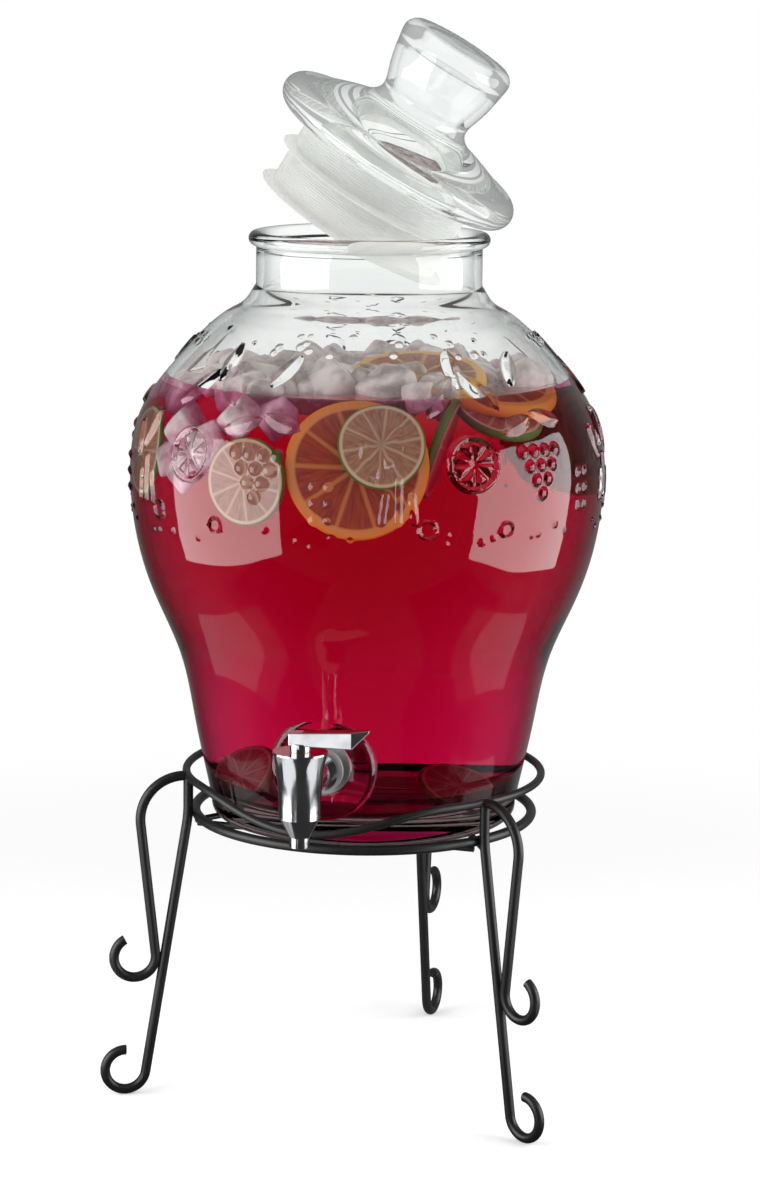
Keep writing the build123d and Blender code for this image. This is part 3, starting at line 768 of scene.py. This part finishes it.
def slice_matrix(degrees, z, depth, lean, twist, turn, tip):
    """Place of a slice against the wall: its face looks outwards, leant back, turned and tipped over."""
    angle = math.radians(degrees)
    out = Matrix.Rotation(angle + math.radians(90), 4, "Z")
    stand = Matrix.Rotation(math.radians(90 - lean), 4, "X")
    spun = Matrix.Rotation(math.radians(twist), 4, "Z")
    swing = Matrix.Rotation(math.radians(tip), 4, "Y") @ Matrix.Rotation(math.radians(turn), 4, "Z")
    centre = Vector((math.cos(angle) * depth, math.sin(angle) * depth, z)) * MM
    return Matrix.Translation(centre) @ out @ swing @ stand @ spun


def against_wall(bm, degrees, z, lean, twist, turn, tip, behind):
    """Pushes a slice in from the wall until all of it is clear of the glass, then by a depth more."""
    flat = [v.co.copy() for v in bm.verts]
    depth = float(inner_radius(z))
    while depth > 0:
        matrix = slice_matrix(degrees, z, depth, lean, twist, turn, tip)
        points = np.array([matrix @ p for p in flat]) / MM
        clear = inner_radius(points[:, 2]) - np.hypot(points[:, 0], points[:, 1])
        if clear.min() > SLICE_CLEAR:
            break
        depth -= PUSH_STEP
    matrix = slice_matrix(degrees, z, depth - behind, lean, twist, turn, tip)
    bmesh.ops.transform(bm, matrix=matrix, verts=bm.verts)


INNER_RUN = np.concatenate([[0], np.cumsum(np.hypot(*np.diff(INNER_WALL, axis=0).T))])


def cling(bm, degrees, z, twist, gap):
    """Bends a flat slice along the inside of the wall, a gap away from the glass."""
    start = np.interp(z, INNER_WALL[:, 1], INNER_RUN)
    top = max(v.co.z for v in bm.verts)
    spin = Matrix.Rotation(math.radians(twist), 3, "Z")
    bmesh.ops.rotate(bm, cent=(0, 0, 0), matrix=spin, verts=bm.verts)
    for vert in bm.verts:
        run = start + vert.co.y / MM
        r, height = (np.interp(run, INNER_RUN, INNER_WALL[:, i]) for i in (0, 1))
        r_next, height_next = (np.interp(run + 1, INNER_RUN, INNER_WALL[:, i]) for i in (0, 1))
        depth = gap + (top - vert.co.z) / MM
        angle = math.radians(degrees) + vert.co.x / MM / r
        reach = r - depth * (height_next - height)
        vert.co = mm(reach * math.cos(angle), reach * math.sin(angle), height + depth * (r_next - r))
    bmesh.ops.recalc_face_normals(bm, faces=bm.faces)


# Slices that cling to the glass: name, material, radius, thickness, degrees round the jar, height, twist in
# its own plane, gap to the glass
WALL_SLICES = [
    ("lime_slice_front", LIME, 21, 4, -73.1, 347, 10, 0.8),
    ("orange_slice_front", ORANGE, 36, 6, -79.3, 337, 0, 5.2),
    ("lime_slice_left", LIME, 21.5, 4.5, -107.5, 327.5, 25, 1.8),
    ("lime_slice_far_left", LIME, 22, 4.5, -149, 333, 40, 0.8),
    ("orange_slice_back", ORANGE, 35, 6.5, 72, 333, 20, 1.5),
    ("lime_slice_back", LIME, 21, 4.5, 112, 338, 35, 0.8),
    ("orange_slice_back_left", ORANGE, 34, 6.5, 160, 334, 10, 2),
    ("lime_slice_back_right", LIME, 21, 4.5, 34, 330, 55, 0.8),
]
for name, stuff, radius, thickness, degrees, z, twist, gap in WALL_SLICES:
    bm = slice_shape(radius, thickness)
    cling(bm, degrees, z, twist, gap)
    piece(name, as_mesh(name, bm, SOFT_SHARP), stuff, "jar")

# Flat slices: name, material, radius, thickness, degrees round the jar, height, lean back, twist in its own
# plane, turn about the upright, tip over, depth behind the place where it clears the glass
SLICES = [
    ("lime_slice_edge_on", LIME, 23, 4.5, -54, 340, 6, 0, 62, 30, 4),
    ("orange_slice_right", ORANGE, 35, 7, -24, 361, 80, 15, 0, 0, 3),
    ("orange_slice_poking", ORANGE, 33, 6.5, -46, 369, 76, 50, 0, -8, 18),
    ("lime_slice_right", LIME, 22, 4.5, -33, 353, 70, 0, 0, 0, 2),
    # The two slices near the floor use the lime darkened with painted shade
    ("lime_slice_floor", SHADED_DEEP_LIME, 21, 4.5, -143, 170, 38, 0, 0, 0, 3),
    ("lime_slice_floor_back", SHADED_DEEP_LIME, 20, 4.5, -26, 168, 55, 0, 0, 0, 4),
]
for name, stuff, radius, thickness, degrees, z, lean, twist, turn, tip, behind in SLICES:
    bm = slice_shape(radius, thickness)
    against_wall(bm, degrees, z, lean, twist, turn, tip, behind)
    piece(name, as_mesh(name, bm, SOFT_SHARP), stuff, "jar")


ICE_UNEVEN = (-0.1, 0.06)
ICE_BEVEL = 0.14
ICE_SMOOTHING = 3


def ice_cube(rng, size):
    """Cube of ice, melted round at its edges and a little uneven."""
    bm = bmesh.new()
    bmesh.ops.create_cube(bm, size=size * MM)
    bmesh.ops.subdivide_edges(bm, edges=bm.edges[:], cuts=1, use_grid_fill=True)
    for vert in bm.verts:
        vert.co *= 1 + rng.uniform(*ICE_UNEVEN)
    bmesh.ops.bevel(bm, geom=bm.edges[:], offset=size * ICE_BEVEL * MM, segments=3, profile=0.5,
                    affect="EDGES", material=-1)
    for _ in range(ICE_SMOOTHING):
        bmesh.ops.smooth_vert(bm, verts=bm.verts, factor=0.5, use_axis_x=True, use_axis_y=True,
                              use_axis_z=True)
    return bm


# Floating cubes, spread over the surface: how many, turn from one to the next and its spread, sizes, heights
# from the level, and the share of its size that a cube's middle keeps off the glass
ICE_COUNT = 46
GOLDEN_TURN = 137.508
ICE_SPREAD = 8
ICE_SIZES = (21, 27)
ICE_HEIGHTS = (-9, 0)
ICE_OFF_GLASS = 0.95
# Smaller cubes round the edge: degrees from one to the next, then sizes, heights and share as above
EDGE_ICE_STEP = 11
EDGE_ICE_SIZES = (14, 20)
EDGE_ICE_HEIGHTS = (-12, 2)
EDGE_ICE_OFF_GLASS = 0.66
# Cubes pushed under at the left, near the glass: degrees round the jar, depth below the surface, size
SUNK_ICE = [(-134, 20, 18), (-123, 26, 19), (-130, 38, 16), (-114, 12, 17), (-137, 34, 15)]
SUNK_ICE_OFF_GLASS = 0.6
# Sides, in degrees round the jar, where slices lie against the glass and leave no room for ice, and the
# radius within which there is room all round
SLICE_SIDES = [(-97, -61), (-53, -8)]
SLICE_REACH_R = 66
rng = random.Random(11)
ice_places = []


def put_ice(degrees, radius, z, size):
    """Notes a place for a cube."""
    angle = math.radians(degrees)
    ice_places.append((Vector((radius * math.cos(angle), radius * math.sin(angle), z)), size))


def taken(degrees):
    """Whether a slice lies against the glass on that side."""
    side = (degrees + 180) % 360 - 180
    return any(low < side < high for low, high in SLICE_SIDES)


for i in range(ICE_COUNT):
    size = rng.uniform(*ICE_SIZES)
    z = LEVEL_Z + rng.uniform(*ICE_HEIGHTS)
    reach = float(inner_radius(z + size / 2)) - size * ICE_OFF_GLASS
    degrees = i * GOLDEN_TURN + rng.uniform(-ICE_SPREAD, ICE_SPREAD)
    radius = reach * math.sqrt((i + 0.5) / ICE_COUNT)
    if radius < SLICE_REACH_R or not taken(degrees):
        put_ice(degrees, radius, z, size)
for degrees in range(-180, 180, EDGE_ICE_STEP):
    size = rng.uniform(*EDGE_ICE_SIZES)
    z = LEVEL_Z + rng.uniform(*EDGE_ICE_HEIGHTS)
    if not taken(degrees):
        put_ice(degrees, float(inner_radius(z + size / 2)) - size * EDGE_ICE_OFF_GLASS, z, size)
for degrees, depth, size in SUNK_ICE:
    z = LEVEL_Z - depth
    put_ice(degrees, float(inner_radius(z)) - size * SUNK_ICE_OFF_GLASS, z, size)
for number, (at, size) in enumerate(ice_places, 1):
    bm = ice_cube(rng, size)
    spin = Matrix.Rotation(rng.uniform(0, 3), 4, (rng.random(), rng.random(), 1))
    bmesh.ops.transform(bm, matrix=Matrix.Translation(at * MM) @ spin, verts=bm.verts)
    piece(f"ice_cube_{number:02d}", as_mesh("ice", bm, SOFT_SHARP), ICE, "jar")


# Lid


def leaned(bm):
    """Moves a lid piece from seated on the rim to leaning over it."""
    pivot = Matrix.Translation(mm(*LID_PIVOT))
    lean = pivot @ Matrix.Rotation(math.radians(LID_LEAN), 4, "Y") @ pivot.inverted()
    seat = Matrix.Translation(mm(0, 0, LID_SEAT_Z))
    bmesh.ops.transform(bm, matrix=lean @ seat, verts=bm.verts)
    return bm


lid_edge = arc((LID_EDGE_AT, LID_EDGE_R), LID_EDGE_R, -90, 90, 16)
lid_top = curve_through(LID_TOP, LID_TOP_ROW)[1:]
lid_line = LID_SKIRT + lid_edge + lid_top + curve_through(LID_HOLLOW, LID_HOLLOW_ROW)
piece("glass_lid", as_mesh("lid", leaned(lathe(lid_line, LID_STEPS, closed=True))), LID_GLASS, "lid",
      ["lid_glass"])


def ridges(top, height, number):
    """Fine moulded ridges down the collar's side, as rows from a height downwards."""
    count = number * ROWS_PER_RIDGE
    return [(COLLAR_R + RIDGE * math.sin(i * math.tau / ROWS_PER_RIDGE), top - i * height / count)
            for i in range(count + 1)]


collar_line = (COLLAR_TOP + ridges(*UPPER_RIDGES) + UPPER_FIN + ridges(*LOWER_RIDGES) + LOWER_FIN
               + COLLAR_INSIDE)
collar_bm = leaned(lathe(collar_line, COLLAR_STEPS, closed=True))
piece("soft_lid_collar", as_mesh("collar", collar_bm, COLLAR_SHARP), COLLAR, "lid", ["lid_collar"])


# Floor, lamps, world and camera

CAMERA_AT = (9.3, -1695.0, 571.0)
CAMERA_PITCH = 10.6
CAMERA_YAW = -0.07
CAMERA_ROLL = 0.68
CAMERA_ROUND = 13.0
FOCAL_PIXELS = 3424.0
LONG_SIDE_PIXELS = 1197.0
SENSOR_WIDTH = 36
CLIP_END = 50


def camera():
    """Camera where the photograph was taken from, a little round to the right of the tap."""
    data = bpy.data.cameras.new("camera")
    data.sensor_width = SENSOR_WIDTH
    data.lens = FOCAL_PIXELS / LONG_SIDE_PIXELS * data.sensor_width
    data.clip_end = CLIP_END
    obj = bpy.data.objects.new("camera", data)
    bpy.context.scene.collection.objects.link(obj)
    yaw, pitch, roll = (math.radians(a) for a in (CAMERA_YAW, CAMERA_PITCH, CAMERA_ROLL))
    ahead = Vector((math.sin(yaw) * math.cos(pitch), math.cos(yaw) * math.cos(pitch), -math.sin(pitch)))
    right = Vector((math.cos(yaw), -math.sin(yaw), 0))
    up = right.cross(ahead)
    axis_x = right * math.cos(roll) + up * math.sin(roll)
    axis_y = up * math.cos(roll) - right * math.sin(roll)
    turn = Matrix((axis_x, axis_y, -ahead)).transposed().to_4x4()
    round_axis = Matrix.Rotation(math.radians(CAMERA_ROUND), 4, "Z")
    obj.matrix_world = round_axis @ Matrix.Translation(mm(*CAMERA_AT)) @ turn
    bpy.context.scene.camera = obj
    return obj


CAMERA = camera()
CAMERA_SIDE = math.degrees(math.atan2(CAMERA.location.y, CAMERA.location.x))
BACKDROP_TURN = -8.0
BACKDROP_SIDE = math.radians(CAMERA_SIDE + 180 + BACKDROP_TURN)
BACKDROP = (math.cos(BACKDROP_SIDE), math.sin(BACKDROP_SIDE), 0)

# What reflections see: a dark room, a backdrop that begins and is full at these cosines off its middle, and a
# soft light overhead between these heights of the sky
ROOM_GLOW = 0.04
BACKDROP_GLOW = 0.25
BACKDROP_START = 0.6
BACKDROP_FULL = 0.98
OVERHEAD_GLOW = 0.4
OVERHEAD_START = 0.5
OVERHEAD_FULL = 0.9
# Even fill on matt surfaces, and the floor: lift of the paper, and where it fades to plain white
FILL = 0.55
PAPER_LIFT = 0.3
FADE_START = 0.25
FADE_FULL = 0.8
PAPER_R = 4
CARD_Z = 0.001


def softbox(name, round_from_camera, distance, height, width, tall, watts):
    """Upright lamp beside the object, facing its axis and not seen itself."""
    data = bpy.data.lights.new(name, "AREA")
    data.shape = "RECTANGLE"
    data.size = width
    data.size_y = tall
    data.energy = watts
    obj = bpy.data.objects.new(name, data)
    bpy.context.scene.collection.objects.link(obj)
    angle = math.radians(CAMERA_SIDE + round_from_camera)
    obj.location = (distance * math.cos(angle), distance * math.sin(angle), height)
    obj.rotation_euler = (Vector((0, 0, height)) - obj.location).to_track_quat("-Z", "Y").to_euler()
    obj.visible_camera = False
    obj.visible_transmission = False


# Name, degrees round from the camera, distance, height, width, tallness, watts
SOFTBOXES = [
    ("left_softbox", -68.5, 0.62, 0.29, 0.7, 0.57, 5.0),
    ("right_softbox", 78, 0.62, 0.27, 0.68, 0.55, 4.5),
]
for row in SOFTBOXES:
    softbox(*row)


def glow(name, strength):
    """Lit white card: an even white for reflections to show."""
    material, tree = new_material(name)
    light = add(tree, "Emission", {"Color": WHITE, "Strength": strength})
    add(tree, "OutputMaterial", {"Surface": light.outputs[0]})
    return material


def floor_card(name, near, aside, long, wide, turn, strength, keeps_off):
    """White card on the floor that only the glass and chrome mirror, placed as the camera sees it."""
    bm = bmesh.new()
    bmesh.ops.create_grid(bm, x_segments=1, y_segments=1, size=0.5)
    place = (Matrix.Rotation(math.radians(CAMERA_SIDE), 4, "Z") @ Matrix.Translation((near, aside, CARD_Z))
             @ Matrix.Rotation(math.radians(turn), 4, "Z") @ Matrix.Diagonal((long, wide, 1, 1)))
    bmesh.ops.transform(bm, matrix=place, verts=bm.verts)
    obj = bpy.data.objects.new(name, as_mesh(name, bm))
    obj.data.materials.append(glow(name.replace("_", " "), strength))
    bpy.context.scene.collection.objects.link(obj)
    for kind in ("camera", "diffuse", "transmission", "volume_scatter", "shadow"):
        setattr(obj, "visible_" + kind, False)
    if keeps_off:
        others = bpy.data.collections.new(name + "_keeps_off")
        others.objects.link(keeps_off)
        others.collection_objects[0].light_linking.link_state = "EXCLUDE"
        obj.light_linking.receiver_collection = others


# Name, distance towards the camera, distance aside, length, width, turn, strength, piece it doesn't light
FLOOR_CARDS = [
    ("left_floor_card", 0.019, -0.273, 0.34, 0.22, 13.6, 0.5, None),
    ("right_floor_card", 0.034, 0.281, 0.275, 0.22, -19.1, 0.5, None),
    ("lever_floor_card", 0.95, -0.43, 0.4, 0.36, 0, 1.6, JAR),
    ("tap_left_floor_card", 0.3, -0.33, 0.36, 0.36, 0, 1.3, JAR),
    ("tap_right_floor_card", 0.26, 0.3, 0.3, 0.3, 0, 1.3, JAR),
]
for row in FLOOR_CARDS:
    floor_card(*row)


def floor_paper():
    """White studio paper: keeps the shadow near the stand and goes to plain white further out."""
    material, tree = new_material("white studio paper")
    where = add(tree, "TexCoord", {})
    far = add(tree, "VectorMath", {0: where.outputs["Object"]}, operation="LENGTH")
    fade = add(tree, "MapRange", {"Value": far.outputs["Value"], "From Min": FADE_START,
                                  "From Max": FADE_FULL}, interpolation_type="SMOOTHSTEP")
    path = add(tree, "LightPath", {})
    aside = add(tree, "VectorMath", {0: where.outputs["Object"]}, operation="NORMALIZE")
    behind = add(tree, "VectorMath", {0: aside.outputs["Vector"], 1: BACKDROP}, operation="DOT_PRODUCT")
    backdrop = add(tree, "MapRange", {"Value": behind.outputs["Value"], "From Min": BACKDROP_START,
                                      "From Max": BACKDROP_FULL, "To Max": BACKDROP_GLOW},
                   interpolation_type="SMOOTHSTEP")
    bounced = add(tree, "Math", {0: path.outputs["Is Glossy Ray"], 1: path.outputs["Is Transmission Ray"]},
                  operation="SUBTRACT")
    mirrored = add(tree, "Math", {0: bounced.outputs[0], 1: backdrop.outputs["Result"]},
                   operation="MULTIPLY")
    seen = add(tree, "Math", {0: path.outputs["Is Camera Ray"], 1: mirrored.outputs[0]}, operation="MAXIMUM")
    seen = add(tree, "Math", {0: seen.outputs[0], 1: path.outputs["Is Transmission Ray"]},
               operation="MAXIMUM")
    dark = add(tree, "Math", {0: bounced.outputs[0], 1: mirrored.outputs[0]}, operation="SUBTRACT")
    share = add(tree, "Math", {0: seen.outputs[0], 1: fade.outputs["Result"]}, operation="MULTIPLY")
    lift = add(tree, "Math", {0: seen.outputs[0], 1: PAPER_LIFT}, operation="MULTIPLY")
    paper = add(tree, "BsdfDiffuse", {"Color": colour("e8e8e8")})
    base = add(tree, "Emission", {"Color": WHITE, "Strength": lift.outputs[0]})
    near = add(tree, "AddShader", {0: paper.outputs[0], 1: base.outputs[0]})
    white = add(tree, "Emission", {"Color": WHITE, "Strength": 1})
    mix = add(tree, "MixShader", {0: share.outputs[0], 1: near.outputs[0], 2: white.outputs[0]})
    room = add(tree, "Emission", {"Color": WHITE, "Strength": ROOM_GLOW})
    last = add(tree, "MixShader", {0: dark.outputs[0], 1: mix.outputs[0], 2: room.outputs[0]})
    add(tree, "OutputMaterial", {"Surface": last.outputs[0]})
    return material


floor_bm = bmesh.new()
bmesh.ops.create_circle(floor_bm, cap_ends=True, segments=96, radius=PAPER_R)
floor = bpy.data.objects.new("floor", as_mesh("floor", floor_bm))
floor.data.materials.append(floor_paper())
bpy.context.scene.collection.objects.link(floor)


def studio_world():
    """White backdrop behind, a dark room in front, soft light overhead and an even fill on matt things."""
    world = bpy.data.worlds.new("studio")
    bpy.context.scene.world = world
    world.use_nodes = True
    tree = world.node_tree
    tree.nodes.clear()
    where = add(tree, "TexCoord", {})
    towards = add(tree, "VectorMath", {0: where.outputs["Generated"], 1: BACKDROP}, operation="DOT_PRODUCT")
    backdrop = add(tree, "MapRange", {"Value": towards.outputs["Value"], "From Min": BACKDROP_START,
                                      "From Max": BACKDROP_FULL, "To Min": ROOM_GLOW,
                                      "To Max": BACKDROP_GLOW}, interpolation_type="SMOOTHSTEP")
    up = add(tree, "SeparateXYZ", {0: where.outputs["Generated"]})
    overhead = add(tree, "MapRange", {"Value": up.outputs["Z"], "From Min": OVERHEAD_START,
                                      "From Max": OVERHEAD_FULL, "To Max": OVERHEAD_GLOW},
                   interpolation_type="SMOOTHSTEP")
    round_about = add(tree, "Math", {0: backdrop.outputs["Result"], 1: overhead.outputs["Result"]},
                      operation="MAXIMUM")
    path = add(tree, "LightPath", {})
    mirrored = add(tree, "Background", {"Color": WHITE, "Strength": round_about.outputs[0]})
    fill = add(tree, "Background", {"Color": WHITE, "Strength": FILL})
    white = add(tree, "Background", {"Color": WHITE, "Strength": 1})
    straight = add(tree, "Math", {0: path.outputs["Is Camera Ray"], 1: path.outputs["Is Transmission Ray"]},
                   operation="MAXIMUM")
    first = add(tree, "MixShader", {0: path.outputs["Is Glossy Ray"], 1: fill.outputs[0],
                                    2: mirrored.outputs[0]})
    last = add(tree, "MixShader", {0: straight.outputs[0], 1: first.outputs[0], 2: white.outputs[0]})
    add(tree, "OutputWorld", {"Surface": last.outputs[0]})


studio_world()
bpy.context.scene.view_settings.view_transform = "Standard"
